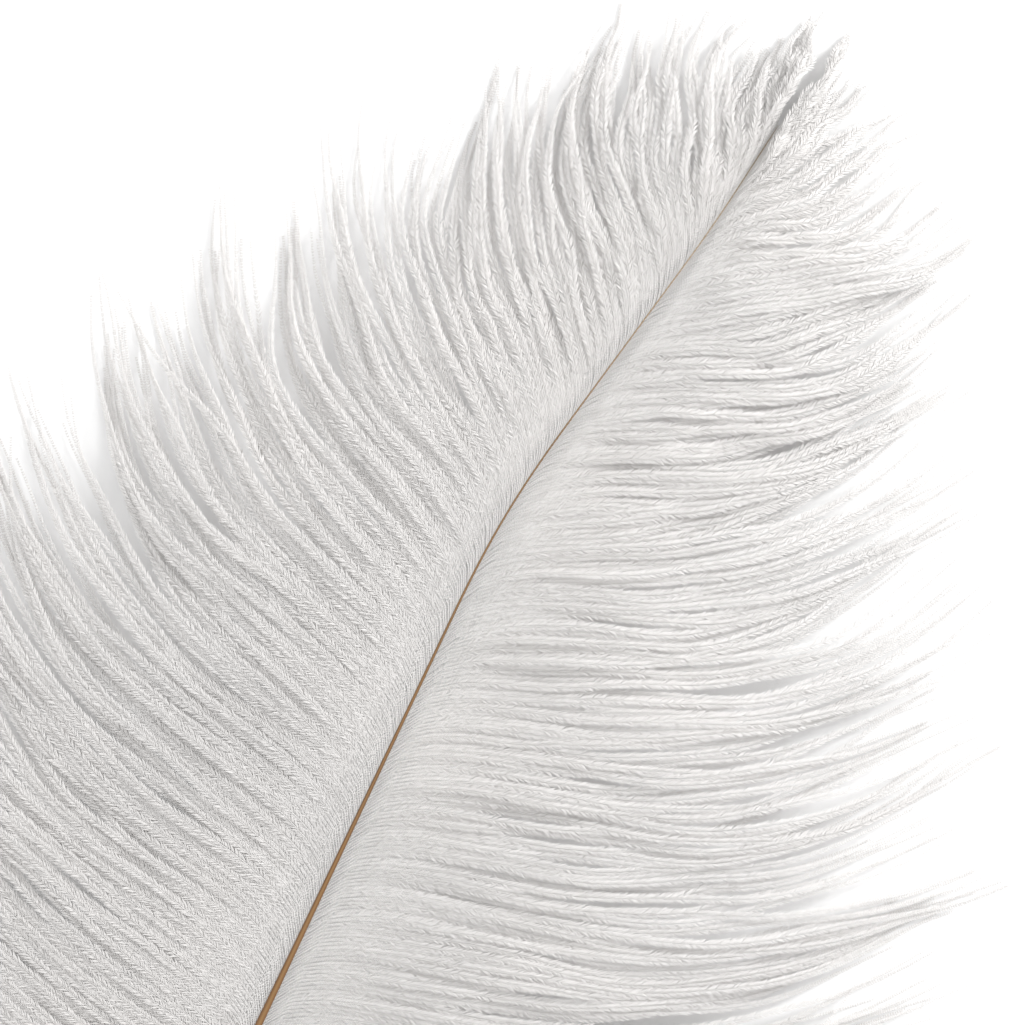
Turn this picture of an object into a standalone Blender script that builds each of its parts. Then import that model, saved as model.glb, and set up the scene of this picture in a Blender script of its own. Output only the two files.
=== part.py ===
"""White ostrich plume, lying flat on its underside as it would on a table.

The feather grew as one piece, so it is one solid: a tapering horn shaft, bare at the quill end,
with the soft plume built as pointed locks that grow from both sides of the shaft.
Metres, +Z up, +Y along the feather towards its tip. The origin is on the table, under the bare quill.
"""

import bmesh
import bpy
import numpy as np

MM = 0.001

# Shaft, measured along its own length from the cut end of the quill
SHAFT_LENGTH = 467 * MM
QUILL_BARE = 50 * MM        # the bare quill, below the first barbs
QUILL_RADIUS = 2.7 * MM
QUILL_POINT = 9 * MM        # the end narrows over this length
ORIGIN_AT = 22 * MM         # the origin is under this point of the quill
TIP_RADIUS = 0.3 * MM
TAPER_POWER = 2.6
SHAFT_SIDES = 12
SHAFT_STATIONS = 24

# Heading of the shaft in the plane of the table, in degrees, where 90 is +Y
HEADING_QUILL = 93.9
HEADING_LOWER = 92.4
HEADING_UPPER = 81.4
HEADING_TIP = 85.0
LOWER_STRETCH = (60 * MM, 230 * MM)
BEND_STRETCH = (320 * MM, 385 * MM)
TIP_STRETCH = (425 * MM, 460 * MM)

# Height of the shaft's underside above the table
ARCH_HEIGHT = 11 * MM
ARCH_RISE = (40 * MM, 250 * MM)
ARCH_DROP = 6 * MM
ARCH_FALL = (300 * MM, 467 * MM)

# Plume: locks on each side, and how a barb runs from the shaft to its tip
LOCKS_PER_SIDE = 38
LOCK_OVERLAP = 1.10         # width of a lock at the shaft, in lock spacings
LOCK_STATIONS = 7
ROOT_ANGLE = 18.0           # degrees between a barb and the shaft where it leaves it
ROOT_TURN = 9 * MM          # the barb opens out over about this length
TIP_SWEEP = (0.30, 1.05)    # share of the barb over which it turns back towards the feather's tip
GATHER_FROM = 0.56          # beyond this share of the barb a lock narrows to its point
LOCK_THICKNESS = 1.9 * MM
LOCK_EDGE = 0.7 * MM
LOCK_ROOT_THICKNESS = 0.7 * MM
LOCK_POINT_WIDTH = 0.9 * MM
LOCK_CROWN = 5 * MM         # how far a barb rises above the shaft before it droops
SHINGLE = 0.55 * MM         # locks lie alternately higher and lower by this much
LEFT, RIGHT = 1, -1


def smooth(low, high, x):
    """0 below low, 1 above high, and a smooth S-curve between them."""
    t = np.clip((x - low) / (high - low), 0, 1)
    return t * t * (3 - 2 * t)


def heading(s):
    """The shaft's direction in radians, at a distance s from the quill's end."""
    degrees = (
        HEADING_QUILL
        + (HEADING_LOWER - HEADING_QUILL) * smooth(*LOWER_STRETCH, s)
        + (HEADING_UPPER - HEADING_LOWER) * smooth(*BEND_STRETCH, s)
        + (HEADING_TIP - HEADING_UPPER) * smooth(*TIP_STRETCH, s)
    )
    return np.radians(degrees)


def radius(s):
    """The shaft's radius: full along the bare quill, then a curved taper to the tip."""
    left = 1 - np.clip((s - QUILL_BARE) / (SHAFT_LENGTH - QUILL_BARE), 0, 1)
    return TIP_RADIUS + (QUILL_RADIUS - TIP_RADIUS) * left**TAPER_POWER


def height(s):
    """The height of the shaft's axis: the quill lies on the table and the rest arches over it."""
    arch = ARCH_HEIGHT * smooth(*ARCH_RISE, s) - ARCH_DROP * smooth(*ARCH_FALL, s)
    return arch + radius(s)


def path(angles, step):
    """Points along a line in the plane that turns through these angles, one step apart."""
    middle = (angles[..., 1:] + angles[..., :-1]) / 2
    move = np.stack([np.cos(middle), np.sin(middle)], -1) * step
    start = np.zeros_like(move[..., :1, :])
    return np.concatenate([start, np.cumsum(move, axis=-2)], axis=-2)


SHAFT_GRID = np.linspace(0, SHAFT_LENGTH, 935)
SHAFT_PATH = path(heading(SHAFT_GRID), SHAFT_GRID[1])
SHAFT_PATH -= [np.interp(ORIGIN_AT, SHAFT_GRID, SHAFT_PATH[:, axis]) for axis in (0, 1)]


def axis_point(s):
    """The shaft's axis seen from above, at a distance s from the quill's end."""
    s = np.asarray(s, float)
    return np.stack([np.interp(s, SHAFT_GRID, SHAFT_PATH[:, axis]) for axis in (0, 1)], -1)


def barb_length(v, side):
    """Length of a barb rooted at share v of the plume: short at the quill, longest at a third, short at the tip."""
    longest, fall, tip_fall = (148 * MM, 0.53, 0.23) if side == LEFT else (168 * MM, 0.57, 0.22)
    grown = 0.30 + 0.70 * smooth(0.0, 0.30, v)
    return longest * grown * (1 - fall * smooth(0.40, 1.0, v) - tip_fall * smooth(0.86, 1.0, v))


def spread_angle(v, side):
    """Degrees between the shaft and the straight middle of a barb."""
    return (79.0 if side == LEFT else 76.0) - 26 * smooth(0.45, 0.92, v) - 46 * smooth(0.88, 1.0, v)


def tip_angle(v, side):
    """Degrees between the shaft and the end of a barb."""
    return (44.0 if side == LEFT else 42.0) - 26 * smooth(0.35, 0.85, v) - 16 * smooth(0.88, 1.0, v)


def barb(s, side, shares, longer=1.0, swung=0.0):
    """Points of the barb rooted at s, at these shares of its length, in the plane of the table."""
    v = np.clip((s - QUILL_BARE) / (SHAFT_LENGTH - QUILL_BARE), 0, 1)
    length = barb_length(v, side) * longer
    fine = np.linspace(0, 1, 97)
    middle = spread_angle(v, side)
    opened = (middle - ROOT_ANGLE) * (1 - np.exp(-fine * length / ROOT_TURN))
    swept = (middle - tip_angle(v, side) - swung) * smooth(*TIP_SWEEP, fine)
    angles = heading(s) + side * np.radians(ROOT_ANGLE + opened - swept)
    points = axis_point(s) + path(angles, length * fine[1])
    return np.stack([np.interp(shares, fine, points[:, axis]) for axis in (0, 1)], -1)


def loft(mesh, rings):
    """Adds one closed body to the mesh: rings of points joined by quads, with a face across each end."""
    rows = [[mesh.verts.new(point) for point in ring] for ring in rings]
    count = len(rows[0])
    for near, far in zip(rows, rows[1:]):
        for k in range(count):
            mesh.faces.new((near[k], near[(k + 1) % count], far[(k + 1) % count], far[k]))
    mesh.faces.new(reversed(rows[0]))
    mesh.faces.new(rows[-1])
    bmesh.ops.recalc_face_normals(mesh, faces=mesh.faces)


def white_plume():
    """The off-white of the barbs, which cover nearly all of the solid."""
    material = bpy.data.materials.new("white_plume")
    material.use_nodes = True
    shader = material.node_tree.nodes["Principled BSDF"]
    shader.inputs["Base Color"].default_value = (0.90, 0.89, 0.87, 1)
    shader.inputs["Roughness"].default_value = 0.8
    shader.inputs["Metallic"].default_value = 0
    return material


def solid(name, fill):
    """A new mesh object whose mesh is filled by fill."""
    mesh = bmesh.new()
    fill(mesh)
    data = bpy.data.meshes.new(name)
    mesh.to_mesh(data)
    mesh.free()
    data.shade_smooth()
    data.set_sharp_from_angle(angle=np.radians(35))
    return bpy.data.objects.new(name, data)


def fill_shaft(mesh):
    """The shaft: rings with a flat facet underneath, rounded at the quill's end and fine at the tip."""
    along = np.concatenate(
        [
            [0.0, 0.25 * QUILL_POINT, QUILL_POINT, QUILL_BARE - 4 * MM],
            np.linspace(QUILL_BARE + 8 * MM, SHAFT_LENGTH + 6 * MM, SHAFT_STATIONS),
        ]
    )
    turns = 2 * np.pi * (np.arange(SHAFT_SIDES) + 0.5) / SHAFT_SIDES - np.pi / 2
    lowest = np.cos(np.pi / SHAFT_SIDES)
    rings = []
    for s in along:
        on_shaft = min(s, SHAFT_LENGTH)
        narrowed = 0.45 + 0.55 * np.sqrt(min(s / QUILL_POINT, 1.0))
        r = radius(on_shaft) * narrowed
        facing = heading(on_shaft)
        ahead = np.array([np.cos(facing), np.sin(facing)]) * (s - on_shaft)
        x, y = axis_point(on_shaft) + ahead
        z = height(on_shaft) - radius(on_shaft) + radius(on_shaft) * lowest
        across = r * np.cos(turns)
        rings.append(
            np.stack([x + across * np.sin(facing), y - across * np.cos(facing), z + r * np.sin(turns)], -1)
        )
    loft(mesh, rings)


def lock_rings(number, side):
    """Six-sided rings of one lock, thick in the middle and thin at the edges, from the shaft to its point."""
    spacing = (SHAFT_LENGTH - QUILL_BARE) / LOCKS_PER_SIDE
    centre = QUILL_BARE + spacing * (number + 0.5)
    half = spacing * LOCK_OVERLAP / 2
    shares = np.linspace(0, 1, LOCK_STATIONS) ** 1.15
    longer = 1 + 0.06 * np.sin(2.4 * number + side) + 0.04 * np.sin(5.3 * number)
    swung = 5.0 * np.sin(1.7 * number + 2 * side)
    edges = [
        barb(np.clip(s, 0, SHAFT_LENGTH), side, shares, longer, swung)
        for s in (centre - half, centre, centre + half)
    ]
    gather = smooth(GATHER_FROM, 1.0, shares)[:, None]
    spine = edges[1]
    low, high = (spine + (edge - spine) * (1 - gather) for edge in (edges[0], edges[2]))
    along = high - low
    width = np.linalg.norm(along, axis=1, keepdims=True)
    direction = along / np.maximum(width, 1e-9)
    direction[-1] = direction[-2]
    point = direction * LOCK_POINT_WIDTH / 2
    low = np.where(width < LOCK_POINT_WIDTH, spine - point, low)
    high = np.where(width < LOCK_POINT_WIDTH, spine + point, high)

    root_height = height(centre) - 0.1 * radius(centre)
    crown = LOCK_CROWN * np.sin(np.pi * shares) * (1 - 0.5 * shares)
    droop = root_height * (1 - smooth(0.25, 1.0, shares))
    shingle = SHINGLE * (-1) ** number * np.sin(np.pi * shares)
    thick = LOCK_ROOT_THICKNESS + (LOCK_THICKNESS - LOCK_ROOT_THICKNESS) * smooth(0.02, 0.25, shares)
    thick = thick - (LOCK_THICKNESS - LOCK_EDGE) * smooth(0.6, 1.0, shares)
    edge_thick = np.minimum(LOCK_EDGE, thick)
    middle = np.maximum(droop + crown + shingle, thick / 2)

    start = side * (0.25 + 0.2 * (number % 2)) * radius(centre)
    sideways = np.array([-np.sin(heading(centre)), np.cos(heading(centre))]) * start
    rings = []
    for k in range(LOCK_STATIONS):
        shift = sideways if k == 0 else 0
        a, m, b = low[k] + shift, spine[k] + shift, high[k] + shift
        top, bottom = middle[k] + thick[k] / 2, middle[k] - thick[k] / 2
        edge_top, edge_bottom = middle[k] + edge_thick[k] / 2, middle[k] - edge_thick[k] / 2
        rings.append(
            [
                (*a, edge_bottom),
                (*m, bottom),
                (*b, edge_bottom),
                (*b, edge_top),
                (*m, top),
                (*a, edge_top),
            ]
        )
    return rings


def grow_locks():
    """Every lock of both vanes, as hidden helpers in one collection that the shaft is joined with."""
    locks = bpy.data.collections.new("locks")
    bpy.context.scene.collection.children.link(locks)
    for side, side_name in ((LEFT, "left"), (RIGHT, "right")):
        for number in range(LOCKS_PER_SIDE):
            lock = solid(
                f"lock_{side_name}_{number}",
                lambda mesh, n=number, w=side: loft(mesh, lock_rings(n, w)),
            )
            lock.hide_render = True
            lock.display_type = "WIRE"
            locks.objects.link(lock)
    return locks


def main():
    for old in list(bpy.data.objects):
        bpy.data.objects.remove(old, do_unlink=True)
    feather = solid("feather", fill_shaft)
    feather.data.materials.append(white_plume())
    bpy.context.scene.collection.objects.link(feather)
    join = feather.modifiers.new("grow_locks_from_shaft", "BOOLEAN")
    join.operation = "UNION"
    join.solver = "EXACT"
    join.operand_type = "COLLECTION"
    join.collection = grow_locks()


main()
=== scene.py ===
"""Looks of a white ostrich plume: its horn shaft, its barbs and their barbules, on a pale table.

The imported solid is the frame. Everything is in its metres and axes: +Y along the feather, +Z up.
"""

import bpy
import numpy as np
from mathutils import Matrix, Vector


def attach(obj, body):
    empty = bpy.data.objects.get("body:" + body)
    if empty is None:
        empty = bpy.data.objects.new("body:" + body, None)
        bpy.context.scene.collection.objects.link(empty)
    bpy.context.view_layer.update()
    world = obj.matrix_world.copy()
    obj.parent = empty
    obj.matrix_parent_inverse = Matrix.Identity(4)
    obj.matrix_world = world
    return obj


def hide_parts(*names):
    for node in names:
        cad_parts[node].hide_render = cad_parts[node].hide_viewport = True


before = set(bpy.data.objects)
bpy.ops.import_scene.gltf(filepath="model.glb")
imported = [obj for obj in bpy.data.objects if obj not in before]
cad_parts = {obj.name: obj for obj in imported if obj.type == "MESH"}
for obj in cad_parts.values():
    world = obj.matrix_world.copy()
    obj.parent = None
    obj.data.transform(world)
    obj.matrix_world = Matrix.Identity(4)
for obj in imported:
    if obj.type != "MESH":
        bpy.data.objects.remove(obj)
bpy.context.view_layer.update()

# The shaft: one tapering horn rod, a hollow pale quill below and a solid honey-brown rachis above.
# It grew in a gentle bend to the right. It lies on the table at the quill and arches over it where
# the barbs hold it up.

MM = 0.001
SHAFT_LENGTH = 467 * MM
QUILL_BARE = 50 * MM          # below the first barbs
QUILL_RADIUS = 2.7 * MM
QUILL_POINT = 9 * MM          # the quill narrows to its cut end over this length
QUILL_BORE = 0.52             # the opening in the cut end, as a share of the radius there
BORE_DEPTH = 7 * MM
ORIGIN_AT = 22 * MM           # the frame's origin is under this point of the quill
TIP_RADIUS = 0.17 * MM
TAPER_POWER = 2.6
GROOVES = 9                   # fine ridges that run along the horn
GROOVE_DEPTH = 0.03           # as a share of the radius
UNDER_GROOVE = 0.10           # the rachis has one shallow furrow underneath
SHAFT_FINE_END = 5 * MM       # the shaft runs out to nothing over this much more
SHAFT_ROWS, SHAFT_SIDES = 420, 48


def smooth(low, high, x):
    """0 below low, 1 above high, and 3t^2 - 2t^3 between them."""
    t = np.clip((x - low) / (high - low), 0, 1)
    return t * t * (3 - 2 * t)


def heading(s):
    """Direction of the shaft in radians at s, as a start value and three smooth turns."""
    degrees = (
        93.9
        - 1.5 * smooth(60 * MM, 230 * MM, s)
        - 11.0 * smooth(320 * MM, 385 * MM, s)
        + 3.6 * smooth(425 * MM, 460 * MM, s)
    )
    return np.radians(degrees)


def radius(s):
    """The quill's radius, then a taper with the square of the length that is left."""
    left = 1 - np.clip((s - QUILL_BARE) / (SHAFT_LENGTH - QUILL_BARE), 0, 1)
    return TIP_RADIUS + (QUILL_RADIUS - TIP_RADIUS) * left**TAPER_POWER


def height(s):
    """Height of the shaft's axis: an arch that rises from the quill and sinks towards the tip."""
    arch = 11 * MM * smooth(40 * MM, 250 * MM, s) - 6 * MM * smooth(300 * MM, 467 * MM, s)
    return arch + radius(s)


def path(angles, step):
    """Running sum of unit steps whose direction is the mean of each two neighbouring angles."""
    middle = (angles[..., 1:] + angles[..., :-1]) / 2
    move = np.stack([np.cos(middle), np.sin(middle)], -1) * step
    return np.concatenate([np.zeros_like(move[..., :1, :]), np.cumsum(move, axis=-2)], axis=-2)


shaft_grid = np.linspace(0, SHAFT_LENGTH, 935)
shaft_path = path(heading(shaft_grid), shaft_grid[1])
shaft_path -= [np.interp(ORIGIN_AT, shaft_grid, shaft_path[:, axis]) for axis in (0, 1)]


def axis_point(s):
    """The shaft's axis seen from above, straight on past the tip."""
    s = np.asarray(s, float)
    beyond = np.maximum(s - SHAFT_LENGTH, 0)[..., None]
    end = heading(SHAFT_LENGTH)
    x, y = (np.interp(s, shaft_grid, shaft_path[:, axis]) for axis in (0, 1))
    return np.stack([x, y], -1) + beyond * [np.cos(end), np.sin(end)]


def mesh_of(name, points, faces, materials, floats=()):
    """A mesh object at the origin from an array of points and one of faces, with point attributes."""
    data = bpy.data.meshes.new(name)
    corners = faces.shape[1]
    data.vertices.add(len(points))
    data.vertices.foreach_set("co", points.astype(np.float32).ravel())
    data.loops.add(faces.size)
    data.loops.foreach_set("vertex_index", faces.astype(np.int32).ravel())
    data.polygons.add(len(faces))
    data.polygons.foreach_set("loop_start", np.arange(len(faces), dtype=np.int32) * corners)
    data.polygons.foreach_set("use_smooth", np.ones(len(faces), bool))
    data.update(calc_edges=True)
    for key, values in dict(floats).items():
        layer = data.attributes.new(key, "FLOAT", "POINT")
        layer.data.foreach_set("value", values.astype(np.float32).ravel())
    data.materials.append(materials)
    piece = bpy.data.objects.new(name, data)
    bpy.context.scene.collection.objects.link(piece)
    return piece


def tube_faces(rows, sides):
    """Quads of a grid of rows by sides points whose sides close on themselves."""
    row, side = np.meshgrid(np.arange(rows - 1), np.arange(sides), indexing="ij")
    after = (side + 1) % sides
    quads = [row * sides + side, row * sides + after, (row + 1) * sides + after, (row + 1) * sides + side]
    return np.stack(quads, -1).reshape(-1, 4)


class Wire:
    """A shader socket that adds its Math nodes when it is used in an expression."""

    def __init__(self, tree, socket):
        self.tree, self.socket = tree, socket

    def maths(self, operation, *values):
        return self.tree.add("ShaderNodeMath", {"operation": operation}, values)

    def __add__(self, other):
        return self.maths("ADD", self, other)

    def __sub__(self, other):
        return self.maths("SUBTRACT", self, other)

    def __rsub__(self, other):
        return self.maths("SUBTRACT", other, self)

    def __mul__(self, other):
        return self.maths("MULTIPLY", self, other)

    def __pow__(self, other):
        return self.maths("POWER", self, other)

    __radd__, __rmul__ = __add__, __mul__


class Finish:
    """A new node material, whose nodes all come from add."""

    def __init__(self, name):
        self.material = bpy.data.materials.new(name)
        self.material.use_nodes = True
        self.nodes = self.material.node_tree.nodes
        self.nodes.clear()

    def add(self, kind, settings=None, values=(), output=0):
        """A node of this kind, its settings, then its sockets' numbers or links; gives one output."""
        node = self.nodes.new(kind)
        for key, value in (settings or {}).items():
            if key == "stops":
                ramp = node.color_ramp.elements
                for extra in range(len(value) - len(ramp)):
                    ramp.new(0.5)
                for element, (at, colour) in zip(ramp, value):
                    element.position, element.color = at, (*colour, 1)
            else:
                setattr(node, key, value)
        pairs = values.items() if isinstance(values, dict) else enumerate(values)
        for key, value in pairs:
            socket = node.inputs[key]
            if isinstance(value, Wire):
                self.material.node_tree.links.new(value.socket, socket)
            elif isinstance(value, tuple) and len(value) == 3 and socket.type == "RGBA":
                socket.default_value = (*value, 1)
            else:
                socket.default_value = value
        return Wire(self, node.outputs[output])

    def attribute(self, name):
        """A point attribute of the mesh as a number."""
        return self.add("ShaderNodeAttribute", {"attribute_name": name}, output="Fac")

    def mix(self, share, first, second):
        """Colour first where share is 0, second where it is 1."""
        settings = {"data_type": "RGBA"}
        return self.add("ShaderNodeMix", settings, {0: share, 6: first, 7: second}, output=2)

    def surface(self, **sockets):
        """Ends the material in a Principled BSDF with these sockets."""
        values = {key.replace("_", " "): value for key, value in sockets.items()}
        shader = self.add("ShaderNodeBsdfPrincipled", None, values)
        self.add_output(shader)
        return self.material

    def add_output(self, shader):
        output = self.nodes.new("ShaderNodeOutputMaterial")
        self.material.node_tree.links.new(shader.socket, output.inputs["Surface"])


def horn_finish():
    """Horn: clear pale quill, honey brown along the rachis, pale olive at the tip, with a painted highlight along its
    top.
    """
    f = Finish("honey_horn")
    along, top_highlight_share = f.attribute("along"), f.attribute("top")
    stops = [
        (0.0, (0.78, 0.70, 0.55)),
        (0.10, (0.74, 0.58, 0.36)),
        (0.30, (0.21, 0.095, 0.022)),
        (0.62, (0.10, 0.042, 0.010)),
        (0.80, (0.12, 0.075, 0.03)),
        (1.0, (0.50, 0.43, 0.30)),
    ]
    base = f.add("ShaderNodeValToRGB", {"stops": stops}, {"Fac": along})
    coordinates = f.add("ShaderNodeTexCoord", output="Object")
    stretched = f.add(
        "ShaderNodeMapping", None, {"Vector": coordinates, "Scale": (900.0, 45.0, 900.0)}
    )
    streaks = f.add("ShaderNodeTexNoise", None, {"Vector": stretched, "Scale": 1.0, "Detail": 4.0})
    dark = f.mix(f.add("ShaderNodeMath", {"operation": "MULTIPLY"}, (streaks, 0.55)), base, (0.25, 0.11, 0.03))
    # painted highlight: the upward-facing side of the shaft is mixed towards a light honey colour
    lit = f.mix(top_highlight_share * 0.22, dark, (0.62, 0.38, 0.15))
    bump = f.add("ShaderNodeBump", None, {"Strength": 0.25, "Distance": 0.0001, "Height": streaks})
    return f.surface(Base_Color=lit, Roughness=streaks * 0.2 + 0.28, Normal=bump, IOR=1.54)


def shaft_surface():
    """Rings of radius r(s) about the axis, rippled by fine ridges and a furrow underneath.

    The first rings go from the bottom of the bore out over the rim, so the cut end is open.
    """
    along = np.linspace(0, 1, SHAFT_ROWS) ** 1.15 * (SHAFT_LENGTH + SHAFT_FINE_END)
    narrowed = 0.45 + 0.55 * np.sqrt(np.clip(along / QUILL_POINT, 0, 1))
    narrowed = narrowed * (1 - 0.85 * smooth(SHAFT_LENGTH, SHAFT_LENGTH + SHAFT_FINE_END, along))
    rim = QUILL_RADIUS * 0.45
    bore_at = np.array([BORE_DEPTH, BORE_DEPTH, 0.4 * BORE_DEPTH, 0.0])
    bore_radius = np.array([0.02, 0.8, 1.0, 1.0]) * QUILL_BORE * rim
    s = np.concatenate([bore_at, along])[:, None]
    size = np.concatenate([bore_radius, radius(along) * narrowed])[:, None]
    outside = np.concatenate([np.zeros(4), np.ones(SHAFT_ROWS)])[:, None]
    turn = np.linspace(0, 2 * np.pi, SHAFT_SIDES, endpoint=False)[None, :]
    under = np.exp(-(((turn - 1.5 * np.pi + np.pi) % (2 * np.pi) - np.pi) / 0.35) ** 2)
    rachis = smooth(QUILL_BARE, QUILL_BARE + 40 * MM, s)
    ripple = 1 - outside * (GROOVE_DEPTH * (1 + np.cos(GROOVES * turn)) / 2 + UNDER_GROOVE * rachis * under)
    r = size * ripple
    facing = heading(np.minimum(s, SHAFT_LENGTH))
    middle = axis_point(s[:, 0])
    x = middle[:, :1] + r * np.cos(turn) * np.sin(facing)
    y = middle[:, 1:] - r * np.cos(turn) * np.cos(facing)
    z = height(np.minimum(s, SHAFT_LENGTH)) + r * np.sin(turn)
    points = np.stack([x, y, z], -1).reshape(-1, 3)
    faces = tube_faces(len(s), SHAFT_SIDES)
    share = np.broadcast_to(s / SHAFT_LENGTH, r.shape)
    # painted highlight mask: the upward-facing side of the tube, which the horn's finish paints lighter
    top = np.broadcast_to(np.clip(np.sin(turn), 0, 1) ** 6 * outside, r.shape)
    return points, faces, {"along": share, "top": top}


shaft_points, shaft_faces, shaft_values = shaft_surface()
shaft = mesh_of("shaft", shaft_points, shaft_faces, horn_finish(), shaft_values)
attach(shaft, "root")

# The barbs: the plume's soft white branches, about nine to the centimetre on each side of the shaft.
# Each leaves the shaft close along it, opens out, and sweeps back towards the feather's tip. They
# cling together in pointed locks, and lie loosely over each other.

LEFT, RIGHT = 1, -1
LOCKS_PER_SIDE = 38
BARB_PITCH = 1.1 * MM
ROOT_ANGLE = 18.0             # degrees between a barb and the shaft where it leaves it
ROOT_TURN = 9 * MM
FINE = 97                     # points of a barb's line
BARB_ROWS = 22
BARB_RADIUS = (0.13 * MM, 0.05 * MM)
LOOSE = np.random.default_rng(7)


def barb_length(v, side):
    """Length at share v of the plume: short at the quill, longest at a third, short at the tip."""
    longest, fall, tip_fall = (148 * MM, 0.53, 0.23) if side == LEFT else (168 * MM, 0.57, 0.22)
    grown = 0.30 + 0.70 * smooth(0.0, 0.30, v)
    return longest * grown * (1 - fall * smooth(0.40, 1.0, v) - tip_fall * smooth(0.86, 1.0, v))


def barb_lines(s, side, longer, swung):
    """Each barb's line from above: the running sum of steps at an angle to the shaft.

    The angle opens from the root's with one exponential, and turns back over the outer part.
    """
    s, longer, swung = (np.asarray(a, float)[:, None] for a in (s, longer, swung))
    v = np.clip((s - QUILL_BARE) / (SHAFT_LENGTH - QUILL_BARE), 0, 1)
    length = barb_length(v, side) * longer
    spread = (79.0 if side == LEFT else 76.0) - 26 * smooth(0.45, 0.92, v) - 46 * smooth(0.88, 1.0, v)
    end = (44.0 if side == LEFT else 42.0) - 26 * smooth(0.35, 0.85, v) - 16 * smooth(0.88, 1.0, v)
    u = np.linspace(0, 1, FINE)[None, :]
    opened = (spread - ROOT_ANGLE) * (1 - np.exp(-u * length / ROOT_TURN))
    swept = (spread - end - swung) * smooth(0.30, 1.05, u)
    angles = heading(s) + side * np.radians(ROOT_ANGLE + opened - swept)
    return axis_point(s[:, 0])[:, None, :] + path(angles, length[..., None] / (FINE - 1)), length[:, 0]


def lock_habit(number, side):
    """How much longer a lock is than its neighbours, and how far it swings, as sines of its number."""
    longer = 1 + 0.06 * np.sin(2.4 * number + side) + 0.04 * np.sin(5.3 * number)
    return longer, 5.0 * np.sin(1.7 * number + 2 * side)


def side_step(lines, amount):
    """Moves each point of each line across it, to the left, by its own amount."""
    ahead = np.gradient(lines, axis=1)
    ahead /= np.maximum(np.linalg.norm(ahead, axis=2, keepdims=True), 1e-9)
    return lines + np.stack([-ahead[..., 1], ahead[..., 0]], -1) * amount[..., None]


def grown_barbs(side):
    """The lines of all barbs on one side, in the round, with their lengths.

    A barb's own line is drawn to the spine of its lock and of its small tuft, then waves a little.
    The height follows the shaft's arch at the root, crowns, and droops to the table.
    """
    count = int((SHAFT_LENGTH + SHAFT_FINE_END - QUILL_BARE) / BARB_PITCH)
    spacing = (SHAFT_LENGTH - QUILL_BARE) / LOCKS_PER_SIDE
    s = QUILL_BARE + (np.arange(count) + 0.5 + LOOSE.uniform(-0.2, 0.2, count)) * BARB_PITCH
    stray = LOOSE.random(count) < 0.06
    number = np.clip(np.floor((s - QUILL_BARE) / spacing + LOOSE.normal(0, 0.12, count)), 0, LOCKS_PER_SIDE - 1)
    longer, swung = lock_habit(number, side)
    own_longer, own_swung = lock_habit((s - QUILL_BARE) / spacing - 0.5, side)
    own_longer = own_longer * (1.05 - np.abs(LOOSE.normal(0, 0.09, count)))
    own_swung = own_swung + LOOSE.normal(0, 1.8, count) + stray * LOOSE.normal(0, 9, count)
    own, length = barb_lines(s, side, own_longer, own_swung)
    spine, _ = barb_lines(QUILL_BARE + spacing * (number + 0.5), side, longer, swung)
    u = np.linspace(0, 1, FINE)[None, :]
    cling = np.where(stray, 0.05, LOOSE.uniform(0.05, 0.58, count))[:, None]
    cling = cling * smooth(0.5, 1.0, u)
    lines = own + (spine - own) * cling[..., None]

    tuft = np.round((s + 1.6 * MM * np.sin(s / (7.3 * MM))) / (3.6 * MM))
    tuft_centre = tuft * 3.6 * MM - 1.6 * MM * np.sin(s / (7.3 * MM))
    tuft_pull = np.abs(np.sin(1.9 * tuft + side))[:, None] * smooth(0.08, 0.42, u)
    shift = side * (tuft_centre - s)[:, None] * -0.26 * tuft_pull
    phase = s[:, None] / (13 * MM) + LOOSE.normal(0, 0.35, count)[:, None]
    wave = 1.1 * MM * np.sin(2 * np.pi * 1.3 * u + 2.1 * phase) + 0.5 * MM * np.sin(2 * np.pi * 3.1 * u + 5 * phase)
    wave += 0.8 * MM * stray[:, None] * np.sin(2 * np.pi * 1.7 * u + 9 * phase)
    lines = side_step(lines, shift + wave * smooth(0.05, 0.5, u))

    layer = 0.4 * MM * np.sin(2.7 * tuft + side) + LOOSE.normal(0, 0.6 * MM, count)
    layer = layer + stray * LOOSE.uniform(0.5 * MM, 2.0 * MM, count)
    z = height(s)[:, None] * (1 - smooth(0.25, 1.0, u))
    z = z + 4.0 * MM * np.sin(np.pi * u) * (1 - 0.5 * u) + layer[:, None] * smooth(0.02, 0.3, u)
    z = z + 0.6 * MM * smooth(0.0, 0.1, u) + 0.8 * MM * np.sin(2 * np.pi * 2.3 * u + 3.7 * phase) * smooth(0.1, 0.4, u)
    beside = side * 0.9 * radius(s)[:, None] * (1 - smooth(0.0, 0.04, u))
    facing = heading(s)
    lines = lines + beside[..., None] * np.stack([-np.sin(facing), np.cos(facing)], -1)[:, None, :]
    return np.concatenate([lines, np.maximum(z, 0.25 * MM)[..., None]], -1), length, s


def at_shares(lines, row, share):
    """Points on the given rows' lines at shares of their length, by linear steps between points."""
    place = np.clip(share, 0, 1) * (FINE - 1)
    low = np.minimum(place.astype(int), FINE - 2)
    part = (place - low)[..., None]
    return lines[row, low] * (1 - part) + lines[row, low + 1] * part


def unit(vectors):
    return vectors / np.maximum(np.linalg.norm(vectors, axis=-1, keepdims=True), 1e-12)


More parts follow.
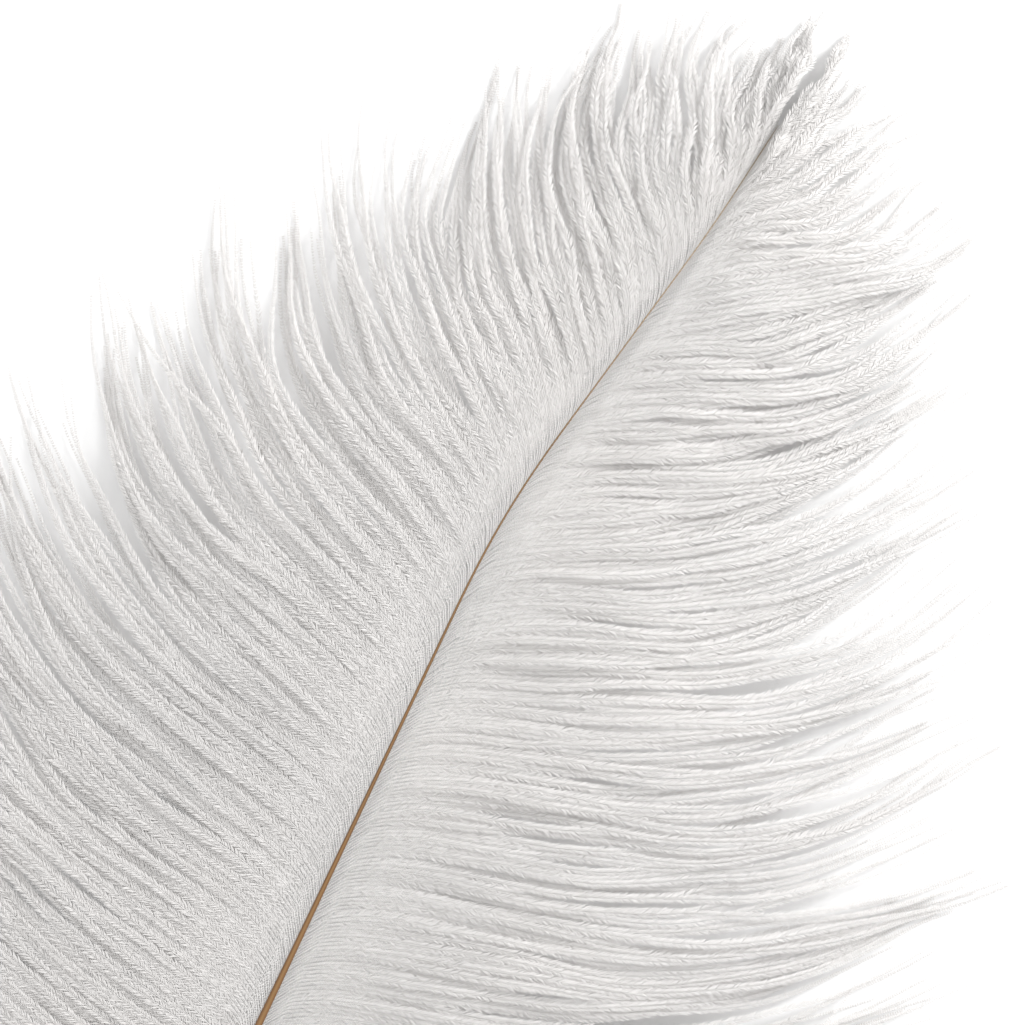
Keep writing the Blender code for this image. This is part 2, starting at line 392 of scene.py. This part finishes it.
def barb_stems(lines, tint):
    """Three-sided tapering tubes along the lines, ridge up, closed to a point at the tip."""
    count = len(lines)
    share = np.linspace(0, 1, BARB_ROWS)
    row = np.arange(count)[:, None]
    centre = at_shares(lines, row, np.broadcast_to(share, (count, BARB_ROWS)))
    ahead = unit(np.gradient(centre, axis=1))
    up = np.array([0.0, 0.0, 1.0])
    across = unit(np.cross(ahead, up))
    over = np.cross(across, ahead)
    size = BARB_RADIUS[0] + (BARB_RADIUS[1] - BARB_RADIUS[0]) * smooth(0.0, 0.8, share)
    size = (size * np.where(share == 1, 0.15, 1))[None, :, None, None]
    turn = np.pi / 2 + np.arange(3) * 2 * np.pi / 3
    ring = across[:, :, None, :] * np.cos(turn)[:, None] + over[:, :, None, :] * np.sin(turn)[:, None]
    points = centre[:, :, None, :] + ring * size
    faces = tube_faces(BARB_ROWS, 3)[None] + (np.arange(count) * BARB_ROWS * 3)[:, None, None]
    along = np.broadcast_to(share[None, :, None], (count, BARB_ROWS, 3))
    tone = np.broadcast_to(tint[:, None, None], (count, BARB_ROWS, 3))
    return points.reshape(-1, 3), faces.reshape(-1, 4)[:, ::-1], {"along": along, "tone": tone}


def plume_finish(name, bright, shade):
    """White keratin: a little greyer by lock and towards the root, with a faint warm blush. On the barbules the
    greying towards the root is painted shade, and their tone also paints one side of each fold darker.
    """
    f = Finish(name)
    along, tone = f.attribute("along"), f.attribute("tone")
    coordinates = f.add("ShaderNodeTexCoord", output="Object")
    clouds = f.add("ShaderNodeTexNoise", None, {"Vector": coordinates, "Scale": 18.0, "Detail": 2.0})
    white = f.mix(tone, shade, bright)
    blushed = f.mix(clouds * 0.5, white, tuple(c * k for c, k in zip(bright, (1.0, 0.975, 0.955))))
    faded = f.mix(along * 0.35, blushed, tuple(c * 0.97 for c in bright))
    grain = f.add("ShaderNodeTexNoise", None, {"Vector": coordinates, "Scale": 2600.0, "Detail": 2.0})
    return f.surface(Base_Color=faded, Roughness=grain * 0.2 + 0.5, IOR=1.5)


stem_white = plume_finish("barb_white", (0.95, 0.94, 0.93), (0.84, 0.83, 0.82))
# The barbules' dark shade colour is mostly painted shade, reached through their tone at the roots and on one side of
# each fold.
flue_white = plume_finish("barbule_white", (0.93, 0.915, 0.905), (0.47, 0.46, 0.45))
barbs = {}
for side, side_name in ((LEFT, "left"), (RIGHT, "right")):
    lines, length, root = grown_barbs(side)
    tint = np.clip(0.55 + 0.45 * np.sin(0.9 * np.arange(len(root))) * LOOSE.random(len(root)), 0, 1)
    barbs[side_name] = (lines, length, root, tint)
    stems = mesh_of(f"barbs_{side_name}", *barb_stems(lines, tint)[:2], stem_white, barb_stems(lines, tint)[2])
    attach(stems, "root")
    if side == LEFT:
        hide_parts("feather")

# The barbules: soft threads on both sides of every barb, with no hooks to zip them together, which
# is what makes the plume fluffy. They point towards the barb's tip like the leaves of a fern.

BARBULE_PITCH = 0.62 * MM
BARBULE_LENGTH = 2.5 * MM
BARBULE_WIDTH = 0.40 * MM
WIDEST_AT = 0.38              # share of a barbule's length where it is widest
BARBULE_ANGLE = 34.0          # degrees from the barb
COMB_BARE = (2 * MM, 13 * MM)  # barbules are short over this first stretch, so the roots show as a comb
FLUE_PARTS = 3


def barbules(lines, length, tint):
    """A folded kite for each tuft of threads: from the barb, out to its widest, and on to its point."""
    per_barb = (length / BARBULE_PITCH).astype(int)
    row = np.repeat(np.arange(len(lines)), per_barb)
    first = np.repeat(np.cumsum(per_barb) - per_barb, per_barb)
    share = (np.arange(len(row)) - first + LOOSE.uniform(0.35, 0.65, len(row))) / per_barb[row]
    row, share = np.repeat(row, 2), np.repeat(share, 2)
    hand = np.tile([1.0, -1.0], len(row) // 2)[:, None]
    base = at_shares(lines, row, share)
    ahead = unit(at_shares(lines, row, share + 0.012) - at_shares(lines, row, share - 0.012))
    up = np.array([0.0, 0.0, 1.0])
    across = unit(np.cross(ahead, up)) * hand
    long = BARBULE_LENGTH * (0.12 + 0.88 * smooth(*COMB_BARE, share * length[row]))
    long = long * (1 - 0.75 * smooth(0.62, 1.0, share)) * LOOSE.uniform(0.8, 1.1, len(row))
    angle = np.radians(BARBULE_ANGLE + LOOSE.normal(0, 4, len(row)))[:, None]
    lift = LOOSE.normal(-0.08, 0.13, len(row))[:, None]
    out = unit(ahead * np.cos(angle) + across * np.sin(angle) + up * lift)
    wide = unit(np.cross(up, out)) * hand * (BARBULE_WIDTH / 2)
    middle = base + out * (WIDEST_AT * long)[:, None]
    fold = up * 0.09 * MM
    corners = np.stack([base, middle + wide - fold, base + out * long[:, None], middle - wide - fold], 1)
    corners[:, [0, 2]] += fold
    corners[..., 2] = np.maximum(corners[..., 2], 0.1 * MM)
    start = np.arange(len(row))[:, None] * 4
    both = np.concatenate([start + [0, 1, 2], start + [0, 2, 3]])
    flip = np.tile(hand[:, 0] > 0, 2)
    both[flip] = both[flip][:, ::-1]
    lit = 0.6 * tint[row] + 0.4 * LOOSE.random(len(row))
    # painted shade: barbules over the first centimetre of each barb are darkened, so the comb's gaps by the shaft look
    # shaded
    lit = lit * (0.05 + 0.95 * smooth(1 * MM, 12 * MM, share * length[row]))
    # painted shade: each barbule is darkest where it meets the barb and darker on one side of its fold than the other,
    # lightest at its tip
    tone = np.stack([0.2 * lit, 0.25 + 0.75 * lit, 0.55 + 0.45 * lit, 0.1 + 0.3 * lit], -1)
    along = np.repeat(share[:, None], 4, 1)
    return corners.reshape(-1, 3), both, {"along": along, "tone": tone}


for side_name, (lines, length, root, tint) in barbs.items():
    share_of_all = np.cumsum(length) / length.sum()
    for part in range(FLUE_PARTS):
        mine = (share_of_all > part / FLUE_PARTS) & (share_of_all <= (part + 1) / FLUE_PARTS)
        points, faces, values = barbules(lines[mine], length[mine], tint[mine])
        flue = mesh_of(f"barbules_{side_name}_{part + 1}", points, faces, flue_white, values)
        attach(flue, "root")

# The table: a plain white sheet, lit from all round so that hardly a shadow falls on it.

TABLE_SIDE = 6.0
table_corners = np.array([[-1, -1, 0], [1, -1, 0], [1, 1, 0], [-1, 1, 0]]) * TABLE_SIDE / 2
sheet = Finish("table_white")
table = mesh_of(
    "table",
    table_corners - [0, 0, 0.3 * MM],
    np.array([[0, 1, 2, 3]]),
    sheet.surface(Base_Color=(0.95, 0.95, 0.95), Roughness=0.9),
)

world = bpy.data.worlds.new("studio")
world.use_nodes = True
world.node_tree.nodes["Background"].inputs["Color"].default_value = (1.0, 1.0, 1.0, 1)
world.node_tree.nodes["Background"].inputs["Strength"].default_value = 1.0
bpy.context.scene.world = world

VIEW_TURN = np.radians(27.8)  # the photograph's right-hand direction, from +X in the frame
right = np.array([np.cos(VIEW_TURN), np.sin(VIEW_TURN), 0.0])
upward = np.array([-np.sin(VIEW_TURN), np.cos(VIEW_TURN), 0.0])


def soft_light(name, direction, power, size):
    """A square lamp that faces the feather's middle from this direction, about a metre away."""
    lamp = bpy.data.lights.new(name, "AREA")
    lamp.energy, lamp.size = power, size
    holder = bpy.data.objects.new(name, lamp)
    at = np.asarray(direction, float)
    holder.location = at + [0.03, 0.25, 0.0]
    away = at / np.linalg.norm(at)
    holder.rotation_mode = "QUATERNION"
    holder.rotation_quaternion = Vector(away).to_track_quat("Z", "Y")
    bpy.context.scene.collection.objects.link(holder)


soft_light("key", right * 0.85 + upward * 0.6 + [0, 0, 0.6], 8.0, 0.3)

# The camera looks straight down, as the photograph was taken.

PIXEL = 0.25 * MM             # on the feather
CUT_AT = 211 * MM             # the shaft leaves the photograph's lower edge at this length
CUT_RIGHT, CUT_UP = (258.5 - 512) * PIXEL, -512.5 * PIXEL
CAMERA_HEIGHT = 1.2
LEVEL = 10 * MM               # the height at which PIXEL holds

cut = np.array([*axis_point(CUT_AT), 0.0])
centre = cut - right * CUT_RIGHT - upward * CUT_UP
lens = bpy.data.cameras.new("camera")
lens.sensor_fit = "HORIZONTAL"
lens.sensor_width = 36.0
lens.lens = 36.0 * (CAMERA_HEIGHT - LEVEL) / (1024 * PIXEL)
lens.clip_start, lens.clip_end = 0.01, 20.0
camera = bpy.data.objects.new("camera", lens)
camera.location = (centre[0], centre[1], CAMERA_HEIGHT)
camera.rotation_euler = (0.0, 0.0, VIEW_TURN)
bpy.context.scene.collection.objects.link(camera)
bpy.context.scene.camera = camera
bpy.context.scene.view_settings.view_transform = "Standard"
